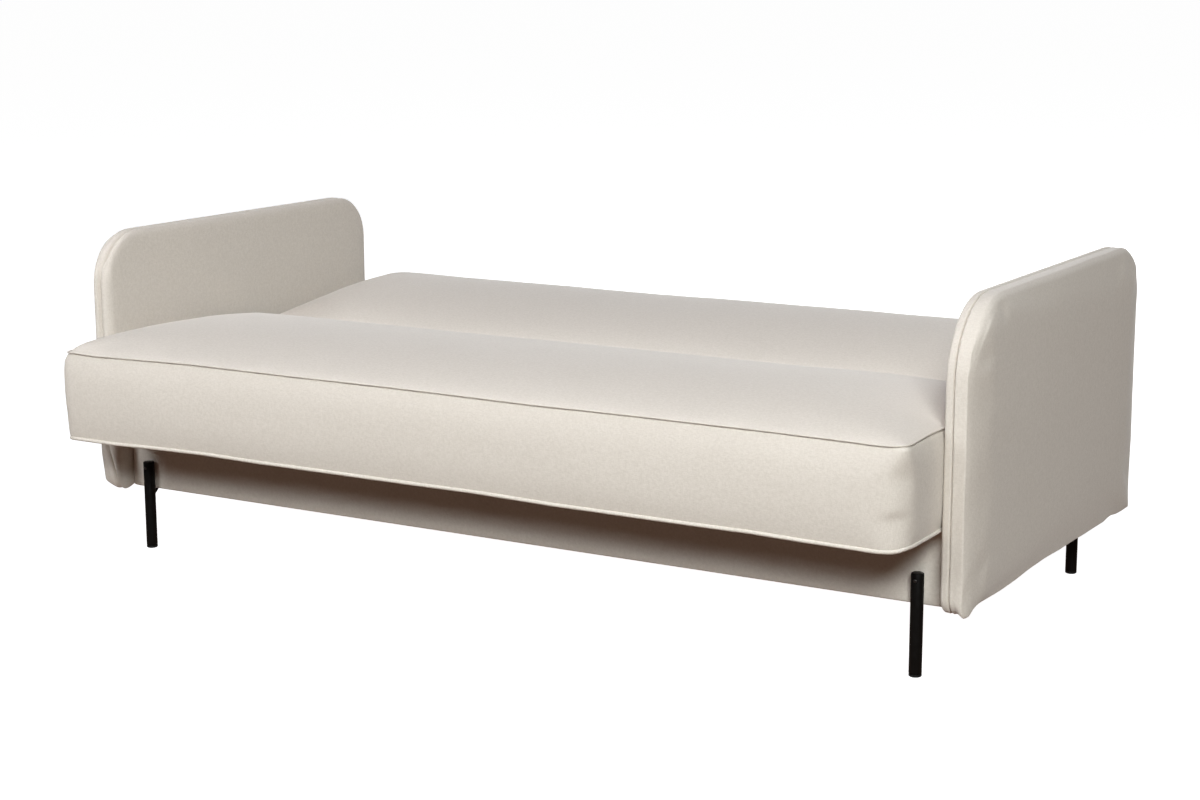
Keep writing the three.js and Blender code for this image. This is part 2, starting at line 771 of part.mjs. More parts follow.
// Plate on the sofa's arm with the pins that the two links turn on
function baseBracket() {
  const { inner, outer } = layer.hingeArm;
  const pins = [0, -swingLinkSpacing];
  const ends = [bracketPinMargin, -swingLinkSpacing - bracketPinMargin];
  const plate = strapShape(
    new THREE.Vector2(ends[0], 0), baseBracketEndRadius,
    new THREE.Vector2(ends[1], 0), baseBracketEndRadius,
  );
  ends.forEach((y) => plate.holes.push(circlePath(y, 0, leafStudRadius)));
  return join(plateAlongX(plate, layer.bracket.inner, layer.bracket.outer), pins.flatMap((y) => [
    barAlongX(hingePinRadius, outer - leafThickness / 2, layer.bracket.outer, y),
    barAlongX(hingePinHeadRadius, inner, outer, y, 0, 20),
  ]));
}

function addMechanism({ word, sign }) {
  const atHinge = group(sofaBed, 0, hinge.y, hinge.z);
  const atLift = group(atHinge, 0, liftPin, 0);
  const atPawl = group(atHinge, 0, pawlPin.x, pawlPin.y);
  const atBase = group(sofaBed, 0, swingBase.y, swingBase.z);
  const atFrontBase = group(atBase, 0, -swingLinkSpacing, 0);
  addPiece(atBase, `${word}_base_bracket`, sided(baseBracket(), sign), zincSteel);
  addPiece(atBase, `${word}_rear_link`, sided(swingLink(), sign), zincSteel);
  addPiece(atFrontBase, `${word}_front_link`, sided(swingLink(), sign), zincSteel);
  addPiece(atHinge, `${word}_hinge_arm`, sided(hingeArm(), sign), zincSteel);
  addPiece(atLift, `${word}_seat_leaf`, sided(seatLeaf(), sign), zincSteel);
  addPiece(atHinge, `${word}_back_leaf`, sided(backLeaf(), sign), zincSteel);
  addPiece(atPawl, `${word}_pawl`, sided(pawlGeometry(), sign), zincSteel);
  addPiece(atPawl, `${word}_pawl_spring`, sided(pawlSpring(), sign), zincSteel);
}

addBox();
addLegs();
sides.forEach(addArm);
addCushion('seat', seat.centre, seatDepth, seatCrown, outerCornerRadius, innerCornerRadius, seatStuds);
addCushion('back', back.centre, back.depth, backCrown, innerCornerRadius, outerCornerRadius, backStuds);
sides.forEach(addMechanism);

export default sofaBed;
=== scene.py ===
"""Looks of a click clack sofa bed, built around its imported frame.

Metres, +Z up, the front faces -Y, the origin is on the floor under the middle of the arms.
"""
import math

import bpy
import numpy as np
from mathutils import Euler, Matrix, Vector, noise


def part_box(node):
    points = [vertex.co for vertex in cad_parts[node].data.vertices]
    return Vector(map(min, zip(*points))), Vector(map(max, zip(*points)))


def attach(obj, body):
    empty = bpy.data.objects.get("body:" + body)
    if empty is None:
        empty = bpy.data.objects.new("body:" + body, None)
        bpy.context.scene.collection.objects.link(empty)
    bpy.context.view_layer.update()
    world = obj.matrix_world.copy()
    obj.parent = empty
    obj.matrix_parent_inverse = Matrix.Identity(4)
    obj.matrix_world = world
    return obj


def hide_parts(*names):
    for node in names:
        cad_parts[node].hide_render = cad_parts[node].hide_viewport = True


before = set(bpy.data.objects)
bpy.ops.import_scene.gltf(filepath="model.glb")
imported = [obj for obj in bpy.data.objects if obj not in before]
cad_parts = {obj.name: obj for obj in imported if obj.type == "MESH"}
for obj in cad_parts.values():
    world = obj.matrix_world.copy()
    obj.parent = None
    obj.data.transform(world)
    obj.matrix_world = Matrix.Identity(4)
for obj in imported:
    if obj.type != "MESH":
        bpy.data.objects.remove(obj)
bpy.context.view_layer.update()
scene = bpy.context.scene

SIDES = (("left", -1), ("right", 1))
UP = (0, 0, 1)
TINY = 1e-12
LEAST_RADIUS = 0.0015


# Numbers

def ease(x):
    """Rises from 0 to 1, softly at both ends."""
    x = np.clip(x, 0, 1)
    return x * x * (3 - 2 * x)


def ramp(x, start, length):
    """0 up to start, 1 from start + length on."""
    return ease((x - start) / length)


def fade(x, end, length):
    """1 up to end - length, 0 from end on."""
    return ease((end - x) / length)


def read_line(x, line):
    """Reads a line of (place, value) pairs at x."""
    return np.interp(x, *zip(*line))


def unit(vectors):
    return vectors / (np.linalg.norm(vectors, axis=1)[:, None] + TINY)


def soft_noise(points, scale, seed, octaves=2):
    """Smooth noise between about -1 and 1 at each point."""
    shift = Vector((seed * 7.31, seed * 3.17, seed * 5.73))
    roughness, step = 0.9, 2.0
    return np.array([
        noise.fractal(Vector(p) * scale + shift, roughness, step, octaves,
                      noise_basis="PERLIN_ORIGINAL")
        for p in points])


# Meshes

def add_mesh(name, points, faces, smooth=True):
    mesh = bpy.data.meshes.new(name)
    mesh.from_pydata([tuple(map(float, p)) for p in points], [], [tuple(f) for f in faces])
    mesh.validate()
    mesh.update()
    mesh.polygons.foreach_set("use_smooth", [smooth] * len(mesh.polygons))
    piece = bpy.data.objects.new(name, mesh)
    scene.collection.objects.link(piece)
    return piece


def get_points(piece):
    out = np.empty(len(piece.data.vertices) * 3)
    piece.data.vertices.foreach_get("co", out)
    return out.reshape(-1, 3)


def set_points(piece, points):
    piece.data.vertices.foreach_set("co", np.asarray(points, dtype=float).ravel())
    piece.data.update()


def subdivide(piece):
    modifier = piece.modifiers.new("smooth", "SUBSURF")
    modifier.levels = modifier.render_levels = 1
    graph = bpy.context.evaluated_depsgraph_get()
    mesh = bpy.data.meshes.new_from_object(piece.evaluated_get(graph))
    piece.modifiers.clear()
    piece.data = mesh


def spread(s, t, rect, radii, inset):
    """Places a square grid on a rectangle with rounded corners, drawn in by inset."""
    u0, u1, v0, v1 = rect[0] + inset, rect[1] - inset, rect[2] + inset, rect[3] - inset
    u = u0 + s * (u1 - u0)
    v = v0 + t * (v1 - v0)
    out_u, out_v = u.copy(), v.copy()
    corners = ((u0, v0, 1, 1), (u1, v0, -1, 1), (u1, v1, -1, -1), (u0, v1, 1, -1))
    for (cu, cv, du, dv), radius in zip(corners, radii):
        r = max(radius - inset, LEAST_RADIUS)
        p = 1 - (u - cu) * du / r
        q = 1 - (v - cv) * dv / r
        inside = (p > 0) & (q > 0)
        # Inside a corner's square, the square is turned into a disc
        pp, qq = np.clip(p, 0, 1), np.clip(q, 0, 1)
        a = pp * np.sqrt(1 - qq ** 2 / 2)
        b = qq * np.sqrt(1 - pp ** 2 / 2)
        out_u = np.where(inside, cu + du * r * (1 - a), out_u)
        out_v = np.where(inside, cv + dv * r * (1 - b), out_v)
    return out_u, out_v


class Pad:
    """A closed padded form: a low cap, a wall of rings and a high cap, all on one grid.

    rings lists (inset, height) or (inset, height, radii) from the low cap to the high one.
    radii are those of the corners (u0, v0), (u1, v0), (u1, v1) and (u0, v1). low and high
    give the caps' heights from their points. place turns (u, v, h) into (x, y, z).
    """

    def __init__(self, rect, radii, rings, low, high, place, step):
        nu = max(4, round((rect[1] - rect[0]) / step))
        nv = max(4, round((rect[3] - rect[2]) / step))
        s, t = np.meshgrid(np.linspace(0, 1, nu + 1), np.linspace(0, 1, nv + 1), indexing="ij")
        index = np.arange((nu + 1) * (nv + 1)).reshape(nu + 1, nv + 1)
        border = np.concatenate(
            [index[:-1, 0], index[-1, :-1], index[:0:-1, -1], index[0, :0:-1]])
        count = len(border)
        bs, bt = s.ravel()[border], t.ravel()[border]
        specs = [(r[0], r[1], r[2] if len(r) > 2 else radii) for r in rings]

        def ring(spec):
            u, v = spread(bs, bt, rect, spec[2], spec[0])
            return np.stack([u, v, np.full(count, spec[1])], axis=1)

        def cap(spec, height):
            u, v = spread(s.ravel(), t.ravel(), rect, spec[2], spec[0])
            return np.stack([u, v, height(u, v)], axis=1)

        size = index.size
        caps = [cap(specs[0], low), cap(specs[-1], high)]
        middle = [ring(spec) for spec in specs[1:-1]]
        self.points = place(*np.concatenate(caps + middle).T)
        self.loops = [border]
        self.loops += [2 * size + k * count + np.arange(count) for k in range(len(middle))]
        self.loops.append(size + border)
        self.low_cap = slice(0, size)
        a, b, c, d = index[:-1, :-1], index[1:, :-1], index[1:, 1:], index[:-1, 1:]
        quads = np.stack([a.ravel(), b.ravel(), c.ravel(), d.ravel()], axis=1)
        faces = [quads[:, ::-1], quads + size]
        for lower, upper in zip(self.loops, self.loops[1:]):
            faces.append(np.stack([lower, np.roll(lower, -1), np.roll(upper, -1), upper], axis=1))
        self.faces = np.concatenate(faces).tolist()

    def held(self, loops):
        """Weights that hold the low cap and the first loops in place."""
        weights = np.zeros(len(self.points))
        weights[self.low_cap] = 1
        for loop in self.loops[:loops]:
            weights[loop] = 1
        return weights


def flat_cap(height):
    return lambda u, v: np.full(u.shape, height)


def lying(u, v, h):
    return np.stack([u, v, h], axis=1)


def tangents(loop):
    return np.roll(loop, -1, axis=0) - np.roll(loop, 1, axis=0)


def even_loop(points, spacing):
    """A closed loop of points, respaced evenly."""
    closed = np.vstack([points, points[:1]])
    lengths = np.linalg.norm(np.diff(closed, axis=0), axis=1)
    total = np.concatenate([[0], np.cumsum(lengths)])
    count = max(8, round(total[-1] / spacing))
    at = np.linspace(0, total[-1], count, endpoint=False)
    return np.stack([np.interp(at, total, closed[:, k]) for k in range(3)], axis=1)


def sewn_loop(points, spacing=0.009, passes=2):
    """An even and smoothed loop, as a seam runs."""
    loop = even_loop(points, spacing)
    for _ in range(passes):
        loop = (np.roll(loop, 1, axis=0) + 2 * loop + np.roll(loop, -1, axis=0)) / 4
    return loop


def tube(name, path, radius, sides):
    """A closed bead along a loop of points. radius is one value, or one for each point."""
    along = unit(tangents(path))
    side = unit(np.cross(along, UP))
    high = np.cross(side, along)
    count = len(path)
    radius = np.broadcast_to(np.asarray(radius, dtype=float), (count,))
    rows = []
    for k in range(sides):
        angle = 2 * math.pi * k / sides
        rows.append(path + side * (radius * math.cos(angle))[:, None]
                    + high * (radius * math.sin(angle))[:, None])
    faces = []
    for i in range(count):
        j = (i + 1) % count
        for k in range(sides):
            m = (k + 1) % sides
            faces.append((i * sides + k, j * sides + k, j * sides + m, i * sides + m))
    return add_mesh(name, np.stack(rows, axis=1).reshape(-1, 3), faces)


CLOTH = {"quality": 5, "mass": 0.3, "tension_stiffness": 15, "compression_stiffness": 15,
         "shear_stiffness": 5, "bending_stiffness": 0.5, "use_pressure": True,
         "pin_stiffness": 1}
CLOTH_FRAMES = 20


def swell(piece, weights, pressure, most):
    """Swells a pad with cloth simulation, by less than most.

    weights, 0 to 1, hold points in place.
    """
    before = get_points(piece)
    group = piece.vertex_groups.new(name="held")
    weights = np.round(weights, 2)
    for weight in np.unique(weights):
        if weight > 0:
            group.add(np.nonzero(weights == weight)[0].tolist(), float(weight), "REPLACE")
    modifier = piece.modifiers.new("cloth", "CLOTH")
    cloth = modifier.settings
    for key, value in CLOTH.items():
        setattr(cloth, key, value)
    cloth.uniform_pressure_force = pressure
    cloth.effector_weights.gravity = 0
    cloth.vertex_group_mass = "held"
    modifier.point_cache.frame_start = 1
    modifier.point_cache.frame_end = CLOTH_FRAMES
    for step in range(1, CLOTH_FRAMES + 1):
        scene.frame_set(step)
    graph = bpy.context.evaluated_depsgraph_get()
    swollen = piece.evaluated_get(graph).to_mesh()
    after = np.empty(len(swollen.vertices) * 3)
    swollen.vertices.foreach_get("co", after)
    piece.modifiers.clear()
    piece.vertex_groups.clear()
    scene.frame_set(1)
    move = after.reshape(-1, 3) - before
    size = np.linalg.norm(move, axis=1)[:, None] + 1e-9
    set_points(piece, before + move / size * (most * np.tanh(size / most)))


# Materials

class Shader:
    """A small helper for node materials."""

    MIX_A, MIX_B, MIX_RESULT = 6, 7, 2

    def __init__(self, name):
        self.material = bpy.data.materials.new(name)
        self.material.use_nodes = True
        self.tree = self.material.node_tree
        self.bsdf = self.tree.nodes["Principled BSDF"]
        self.coords = self.tree.nodes.new("ShaderNodeTexCoord").outputs["Object"]

    def node(self, kind, values=None, **settings):
        node = self.tree.nodes.new(kind)
        for key, value in settings.items():
            setattr(node, key, value)
        for key, value in (values or {}).items():
            self.feed(value, node.inputs[key])
        return node

    def feed(self, value, socket):
        if isinstance(value, bpy.types.NodeSocket):
            self.tree.links.new(value, socket)
        else:
            socket.default_value = value

    def noise(self, scale, detail=2.0, roughness=0.5, coords=None, distortion=0.0):
        return self.node("ShaderNodeTexNoise", {
            "Vector": coords or self.coords, "Scale": scale, "Detail": detail,
            "Roughness": roughness, "Distortion": distortion}).outputs["Fac"]

    def stretched(self, scale):
        values = {"Vector": self.coords, "Scale": scale}
        return self.node("ShaderNodeMapping", values).outputs[0]

    def range(self, value, low, high, to_low=0.0, to_high=1.0):
        return self.node("ShaderNodeMapRange", {
            "Value": value, "From Min": low, "From Max": high,
            "To Min": to_low, "To Max": to_high}).outputs[0]

    def math(self, operation, a, b):
        return self.node("ShaderNodeMath", {0: a, 1: b}, operation=operation).outputs[0]

    def blend(self, first, *shares):
        """Adds up layers, each given as (layer, share)."""
        total = self.math("MULTIPLY", *first)
        for share in shares:
            total = self.math("ADD", total, self.math("MULTIPLY", *share))
        return total

    def mix(self, amount, a, b):
        values = {"Factor": amount, self.MIX_A: a, self.MIX_B: b}
        node = self.node("ShaderNodeMix", data_type="RGBA")
        for key, value in values.items():
            self.feed(value, node.inputs[key])
        return node.outputs[self.MIX_RESULT]

    def bump(self, height, strength, distance, normal=None):
        values = {"Height": height, "Strength": strength, "Distance": distance}
        if normal is not None:
            values["Normal"] = normal
        return self.node("ShaderNodeBump", values).outputs[0]

    def set(self, **values):
        for key, value in values.items():
            self.feed(value, self.bsdf.inputs[key.replace("_", " ")])


def rgb(r, g, b):
    return (r, g, b, 1.0)


def fabric_material(name, light, dark, weave, sheen=0.35):
    """Soft fine-woven upholstery with slubs, brushed patches and a woven bump."""
    m = Shader(name)
    close, wide = 900, 160
    threads = [m.noise(1.0, detail=1.0, coords=m.stretched(scale)) for scale in (
        (close, wide, wide), (wide, close, wide), (wide, wide, close))]
    weft = m.math("ADD", m.math("ADD", threads[0], threads[1]), threads[2])
    weft = m.range(weft, 1.15, 1.85)
    grain = m.noise(620, roughness=0.6)
    slubs = m.noise(60, detail=3.0, roughness=0.7, coords=m.stretched((2.6, 0.7, 1.4)))
    slubs = m.range(slubs, 0.46, 0.72)
    nap = m.range(m.noise(7.0, detail=3.0, distortion=0.3), 0.30, 0.70)
    brushed = m.range(m.noise(2.1), 0.32, 0.68)
    tone = m.blend((weft, 0.40), (grain, 0.16), (slubs, 0.03), (nap, 0.025), (brushed, 0.04))
    colour = m.mix(m.range(tone, 0.10, 0.60), dark, light)
    m.set(Base_Color=colour, Roughness=m.range(tone, 0.2, 0.9, to_low=0.98, to_high=0.86))
    m.set(Sheen_Weight=sheen, Sheen_Roughness=0.45, Specular_IOR_Level=0.18)
    m.set(Sheen_Tint=rgb(1.0, 0.98, 0.95))
    woven = m.bump(m.math("ADD", weft, grain), strength=weave, distance=0.0004)
    uneven = m.noise(14, roughness=0.4)
    m.set(Normal=m.bump(uneven, strength=0.05, distance=0.004, normal=woven))
    return m.material


def metal_material(name, colour, rough, metallic, speckle, scale=90, gloss=0.5):
    """Metal or a coat, with a fine grain. speckle is how far its tone varies."""
    m = Shader(name)
    m.set(Specular_IOR_Level=gloss)
    grain = m.noise(scale, detail=4.0, roughness=0.6)
    fine = m.noise(1400, detail=1.0)
    low = [c * (1 - speckle) for c in colour[:3]]
    high = [min(c * (1 + speckle) + 0.002, 1) for c in colour[:3]]
    m.set(Base_Color=m.mix(grain, rgb(*low), rgb(*high)), Metallic=metallic)
    m.set(Roughness=m.range(grain, 0.3, 0.7, to_low=rough - 0.06, to_high=rough + 0.08))
    m.set(Normal=m.bump(fine, strength=0.12, distance=0.0004))
    return m.material


def wood_material(name, light, dark, along):
    """Planed softwood with its grain along one axis."""
    m = Shader(name)

    def fibres(across, lengthways):
        scale = [across] * 3
        scale[along] = lengthways
        return m.stretched(tuple(scale))

    grain = m.noise(1.0, detail=6.0, roughness=0.65, coords=fibres(46.0, 2.4), distortion=0.6)
    pores = m.noise(1.0, roughness=0.6, coords=fibres(420.0, 14.0))
    tone = m.range(m.blend((grain, 0.7), (pores, 0.3)), 0.35, 0.65)
    m.set(Base_Color=m.mix(tone, dark, light))
    m.set(Roughness=m.range(pores, 0.3, 0.7, to_low=0.62, to_high=0.8))
    m.set(Normal=m.bump(pores, strength=0.25, distance=0.0005))
    return m.material


CREAM = fabric_material("upholstery_cream", light=rgb(0.722, 0.668, 0.600),
                        dark=rgb(0.632, 0.578, 0.510), weave=0.42)
PIPING = fabric_material("upholstery_piping", light=rgb(0.760, 0.705, 0.635),
                         dark=rgb(0.640, 0.585, 0.515), weave=0.35)
LINING = fabric_material("lining_black", light=rgb(0.040, 0.040, 0.042),
                         dark=rgb(0.014, 0.014, 0.015), weave=0.7, sheen=0.1)
BLACK = metal_material("steel_black_coat", rgb(0.0034, 0.0030, 0.0027),
                       rough=0.40, metallic=0.0, speckle=0.25, gloss=0.14)
PLASTIC = metal_material("plastic_black", rgb(0.010, 0.010, 0.010),
                         rough=0.55, metallic=0.0, speckle=0.2, gloss=0.3)
SCREW = metal_material("steel_dark_screw", rgb(0.08, 0.077, 0.075),
                       rough=0.34, metallic=1.0, speckle=0.1, scale=240)
ZINC = metal_material("steel_zinc", rgb(0.56, 0.565, 0.58),
                      rough=0.36, metallic=1.0, speckle=0.1, scale=240)
TIMBER = [wood_material(f"timber_{'xyz'[axis]}", light=rgb(0.66, 0.48, 0.29),
                        dark=rgb(0.50, 0.33, 0.17), along=axis) for axis in range(3)]
PLY = wood_material("plywood_sheet", light=rgb(0.62, 0.45, 0.27),
                    dark=rgb(0.50, 0.35, 0.19), along=0)


def finish_piece(piece, material, body):
    piece.data.materials.clear()
    piece.data.materials.append(material)
    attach(piece, body)
    return piece


# Cushions. Heights count from the underside, and "out" from the middle to the outer long face

WALL = 0.183  # height of the top seam
HALF_LENGTH, END_SWELL = 0.9442, 0.0148  # to a held end, and how far a free end goes past that
FACE_INSET = 0.0040  # of the long faces, from the CAD box
EDGE_RISE, EDGE_REACH = 0.010, 0.034  # the roll between the top seam and the crown
LEFT_RISE, LEFT_REACH = 0.0045, 0.010  # the left end rolls higher and more tightly by these
CREASE_POWER, OUTER_POWER = 2.3, 2.8  # how sharply the crown drops to either long side
WAIST, BELLY = 0.004, 0.0035  # how far the long faces are drawn in midway, and bulge
RECESS_INSET, RECESS_TOP = 0.0238, 0.0538  # the hollow underneath, which takes the timber frame
SQUARE = (LEAST_RADIUS,) * 4
UNDER_RINGS = ((RECESS_INSET, RECESS_TOP, SQUARE), (RECESS_INSET, 0.03, SQUARE),
               (RECESS_INSET, 0.0008, SQUARE), (0.022, 0, SQUARE), (0.012, 0),
               (0.0035, 0.0008), (0.0008, 0.005))
WALL_RINGS = np.linspace(0.014, WALL - 0.011, 15)
SEAM_RINGS = ((0.0, -0.0036), (0.0009, -0.0011), (0.0060, 0.0))  # heights from the top seam
SEAM_BLEND = 0.06  # how far below the seam its corner radii end
SEAM_HOLD = 0.55
SWELL_BY_RISE = ((0, 0.55), (0.25, 0.72), (0.55, 0.93), (0.85, 1.0), (1.0, 0.86), (1.15, 0.7))
STEADY = 0.06  # only what is above this height wanders
# How far the seam, the long faces and the crown wander: slowly, and in small waves
SEAM_WANDER, FACE_WANDER, CROWN_WANDER = (0.0012, 0.0004), (0.0016, 0.0006), (0.0014, 0.0005)
FALL_PLACES = (-0.94, -0.74, 0.70, 0.94)
LIP_RADIUS, LIP_OUT, LIP_UP = 0.0021, 0.0030, 0.0004
PIPING_RADIUS, PIPING_HEIGHT, PIPING_WOBBLE = 0.0038, 0.0042, 0.06


class Cushion:
    """One cushion with its cover, its seam lip and its piping.

    crown is its height in the middle. ends says how sharply the crown drops at the left end
    and at the right one, and left_roll how much of the fuller roll the left end has. fall is
    how much lower the side at the crease is, at the left end, in the middle and at the right
    end. radii are the corners', from the left front one to the left rear one, and seam_radii
    those at the top seam. beside lifts the seam at the right arm. free lists two places in y:
    the ends keep clear of the hinge up to the first of them, and from the second one on they
    swell to just short of the arms. top_line and foot_line list how far the seam and the
    piping of the outer face stand from a straight line.
    """

    def __init__(self, prefix, body, crown, ends, left_roll, fall, radii, seam_radii, beside,
                 free, seed, top_line, foot_line):
        self.prefix, self.body, self.seed = prefix, body, seed
        self.crown, self.ends, self.left_roll, self.fall = crown, ends, left_roll, fall
        self.radii, self.seam_radii, self.beside, self.free = radii, seam_radii, beside, free
        self.top_line, self.foot_line = top_line, foot_line
        low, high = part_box(f"{prefix}_cushion")
        y0, y1 = low[1] + FACE_INSET, high[1] - FACE_INSET
        self.base = low[2]
        self.middle, self.half = (y0 + y1) / 2, (y1 - y0) / 2
        self.face = 1 if free[1] > free[0] else -1

    def out(self, points):
        return self.face * (points[:, 1] - self.middle)

    def loose(self, y):
        return ease((y - self.free[0]) / (self.free[1] - self.free[0]))

    def top(self, u, v):
        inset = np.minimum(HALF_LENGTH - np.abs(u), self.half - np.abs(v))
        full = self.left_roll * ramp(-u, HALF_LENGTH - 0.110, 0.090)
        edge = np.clip(inset / (EDGE_REACH - LEFT_REACH * full), 0, 1)
        length_power = np.where(u < 0, *self.ends)
        depth_power = np.where(v * self.face < 0, CREASE_POWER, OUTER_POWER)
        length = 1 - np.clip(np.abs(u) / HALF_LENGTH, 0, 1) ** length_power
        depth = 1 - np.clip(np.abs(v) / self.half, 0, 1) ** depth_power
        rise = (EDGE_RISE + LEFT_RISE * full) * (1 - (1 - edge) ** 2)
        return self.base + WALL + rise + self.crown * length * depth

    def end_swell(self, u, y, h):
        """How far the ends go out. Beside the recess only their skin moves."""
        full = read_line(np.clip((h - self.base) / WALL, 0, 1.2), SWELL_BY_RISE)
        reach = np.where(h - self.base > RECESS_TOP + 0.012, 0.30, 0.0205)
        return END_SWELL * self.loose(y) * full * ease(1 - (HALF_LENGTH - np.abs(u)) / reach)

    def place(self, u, v, h):
        rise = np.clip((h - self.base) / WALL, 0, 1)
        share = np.abs(v) / self.half
        waist = WAIST * (1 - (u / HALF_LENGTH) ** 2) * share ** 2
        belly = BELLY * 4 * rise * (1 - rise) * share ** 8
        y = self.middle + v + np.sign(v) * (belly - waist)
        return np.stack([u + np.sign(u) * self.end_swell(u, y, h), y, h], axis=1)

    def corners(self, height):
        share = fade(height, WALL, SEAM_BLEND)
        return tuple(a + (b - a) * share for a, b in zip(self.seam_radii, self.radii))

    def pad(self):
        rings = [(ring[0], self.base + ring[1], *ring[2:]) for ring in UNDER_RINGS]
        rings += [(0.0, self.base + height, self.corners(height)) for height in WALL_RINGS]
        rings += [(inset, self.base + WALL + drop, self.seam_radii) for inset, drop in SEAM_RINGS]
        rect = (-HALF_LENGTH, HALF_LENGTH, -self.half, self.half)
        return Pad(rect, self.radii, rings, flat_cap(self.base + RECESS_TOP), self.top,
                   self.place, step=0.0122)

    def at_foot(self, points):
        return ramp(self.out(points), self.half - 0.030, 0.022)

    def wear(self, points):
        """Lets the seam, the wall and the crown wander, as sewn covers do, and sinks the
        side at the crease."""
        x, y, z = points.T
        height = z - self.base
        slow = soft_noise(points, 5.2, self.seed, octaves=3)
        fine = soft_noise(points, 17.0, self.seed + 1)

        # The seam wanders by itself, but along the outer face it follows top_line
        outer = ramp(self.out(points) / self.half, 0.55, 0.40)
        lift = SEAM_WANDER[0] * slow * (1 - outer) + SEAM_WANDER[1] * fine
        lift += read_line(x, self.top_line) * outer
        lift += self.beside * ramp(x, 0.905, 0.035) * ramp(y, -0.60, 0.10)
        width = np.where(height > WALL + 0.001, 0.009, 0.05)
        lift *= np.exp(-((height - WALL) / width) ** 2)
        z += np.where(height > STEADY, lift, 0)

        # The side at the crease lies lower
        left, middle, right = self.fall
        slope = np.interp(x, FALL_PLACES, (left, middle, middle, right))
        slope *= ease(0.42 - 1.15 * self.out(points) / (2 * self.half))
        z -= slope * ramp(height, 0.04, 0.12)

        # The long faces, but not the ends, and the crown
        edge = np.clip((np.abs(y - self.middle) / self.half - 0.75) / 0.25, 0, 1)
        edge *= fade(np.abs(x), HALF_LENGTH - 0.03, 0.25) * np.clip(height / STEADY, 0, 1)
        wall = (height > 0.012) & (height < WALL + 0.02)
        push = np.sign(y - self.middle) * (FACE_WANDER[0] * slow + FACE_WANDER[1] * fine)
        y += np.where(wall, edge * push, 0)
        lift = CROWN_WANDER[0] * slow + CROWN_WANDER[1] * fine
        z += np.where(height > WALL + 0.008, lift, 0)

        # The foot of the outer face follows foot_line
        z += read_line(x, self.foot_line) * fade(height, 0.10, 0.095) * self.at_foot(points)

    def keep_clear(self, points):
        """Stops the swollen ends short of the arms and the hinge."""
        soft = 0.004
        reach = np.abs(points[:, 0])
        limit = HALF_LENGTH + (END_SWELL + 0.0006) * self.loose(points[:, 1])
        over = np.clip((reach - limit + soft) / soft, 0, None)
        reach = np.where(over > 0, limit - soft + soft * (1 - np.exp(-over)), reach)
        points[:, 0] = np.sign(points[:, 0]) * reach

    def keep_inside(self, path, room):
        """Keeps a bead's path inside the ends."""
        limit = HALF_LENGTH + END_SWELL * self.loose(path[:, 1]) - room
        path[:, 0] = np.clip(path[:, 0], -limit, limit)

    def build(self):
        prefix = self.prefix
        pad = self.pad()
        self.wear(pad.points)
        piece = add_mesh(f"{prefix}_cushion_cover", pad.points, pad.faces)
        weights = pad.held(len(UNDER_RINGS))
        weights[pad.loops[-1]] = SEAM_HOLD
        swell(piece, weights, pressure=3.0, most=0.010)
        points = get_points(piece)
        self.keep_clear(points)
        set_points(piece, points)
        subdivide(piece)
        finish_piece(piece, CREAM, self.body)
        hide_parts(f"{prefix}_cushion")

        # A thin folded lip over the crease of the top seam
        seam = sewn_loop(points[pad.loops[-1]])
        along = tangents(seam)
        outward = unit(np.stack([along[:, 1], -along[:, 0], np.zeros(len(seam))], axis=1))
        outward *= np.sign(np.sum(outward * (seam - [0, self.middle, 0]), axis=1))[:, None]
        path = seam + np.array([0, 0, LIP_UP]) + outward * LIP_OUT
        self.keep_inside(path, LIP_RADIUS)
        bead = tube(f"{prefix}_seam_lip", path, LIP_RADIUS, sides=8)
        finish_piece(bead, CREAM, self.body)

        # A fuller piping round the underside
        foot = sewn_loop(points[pad.loops[len(UNDER_RINGS) - 1]])
        self.keep_inside(foot, PIPING_RADIUS)
        foot[:, 2] = (self.base + PIPING_HEIGHT
                      + read_line(foot[:, 0], self.foot_line) * self.at_foot(foot))
        wobble = 1 + PIPING_WOBBLE * soft_noise(foot, 30, self.seed + 4)
        bead = tube(f"{prefix}_piping", foot, PIPING_RADIUS * wobble, sides=10)
        finish_piece(bead, PIPING, self.body)


SEAT_SEAM = ((-0.950, -0.0135), (-0.900, -0.0100), (-0.849, -0.0070), (-0.766, -0.0050),
             (-0.600, -0.0012), (-0.450, -0.0020), (-0.084, -0.0014), (0.200, -0.0044),
             (0.359, -0.0026), (0.682, -0.0020), (0.852, -0.0034), (0.907, -0.0046),
             (0.945, -0.0010))
SEAT_FOOT = ((-0.950, -0.0050), (-0.820, -0.0050), (-0.713, -0.0020), (-0.580, 0.0),
             (-0.450, -0.0018), (-0.084, -0.0016), (0.080, -0.0008), (0.250, -0.0038),
             (0.560, -0.0036), (0.663, -0.0028), (0.760, -0.0048), (0.852, -0.0056),
             (0.907, -0.0060), (0.945, -0.0050))
BACK_SEAM = ((-0.950, -0.0050), (-0.700, 0.0), (0.0, 0.0015), (0.600, 0.0), (0.950, -0.0040))
BACK_FOOT = ((-0.950, 0.0), (0.950, 0.0))

Cushion("seat", "seat", crown=0.0300, ends=(14, 10), left_roll=1.0,
        fall=(0.0110, 0.0110, 0.0170), radii=(0.005, 0.040, 0.024, 0.024),
        seam_radii=(0.005, 0.018, 0.024, 0.024), beside=0.0026, free=(-0.180, -0.270), seed=3,
        top_line=SEAT_SEAM, foot_line=SEAT_FOOT).build()
Cushion("back", "backrest", crown=0.0352, ends=(28, 10), left_roll=0.8,
        fall=(0.0270, 0.0170, 0.0180), radii=(0.024, 0.024, 0.040, 0.040),
        seam_radii=(0.024, 0.024, 0.040, 0.040), beside=0.0, free=(0.450, 0.510), seed=11,
        top_line=BACK_SEAM, foot_line=BACK_FOOT).build()


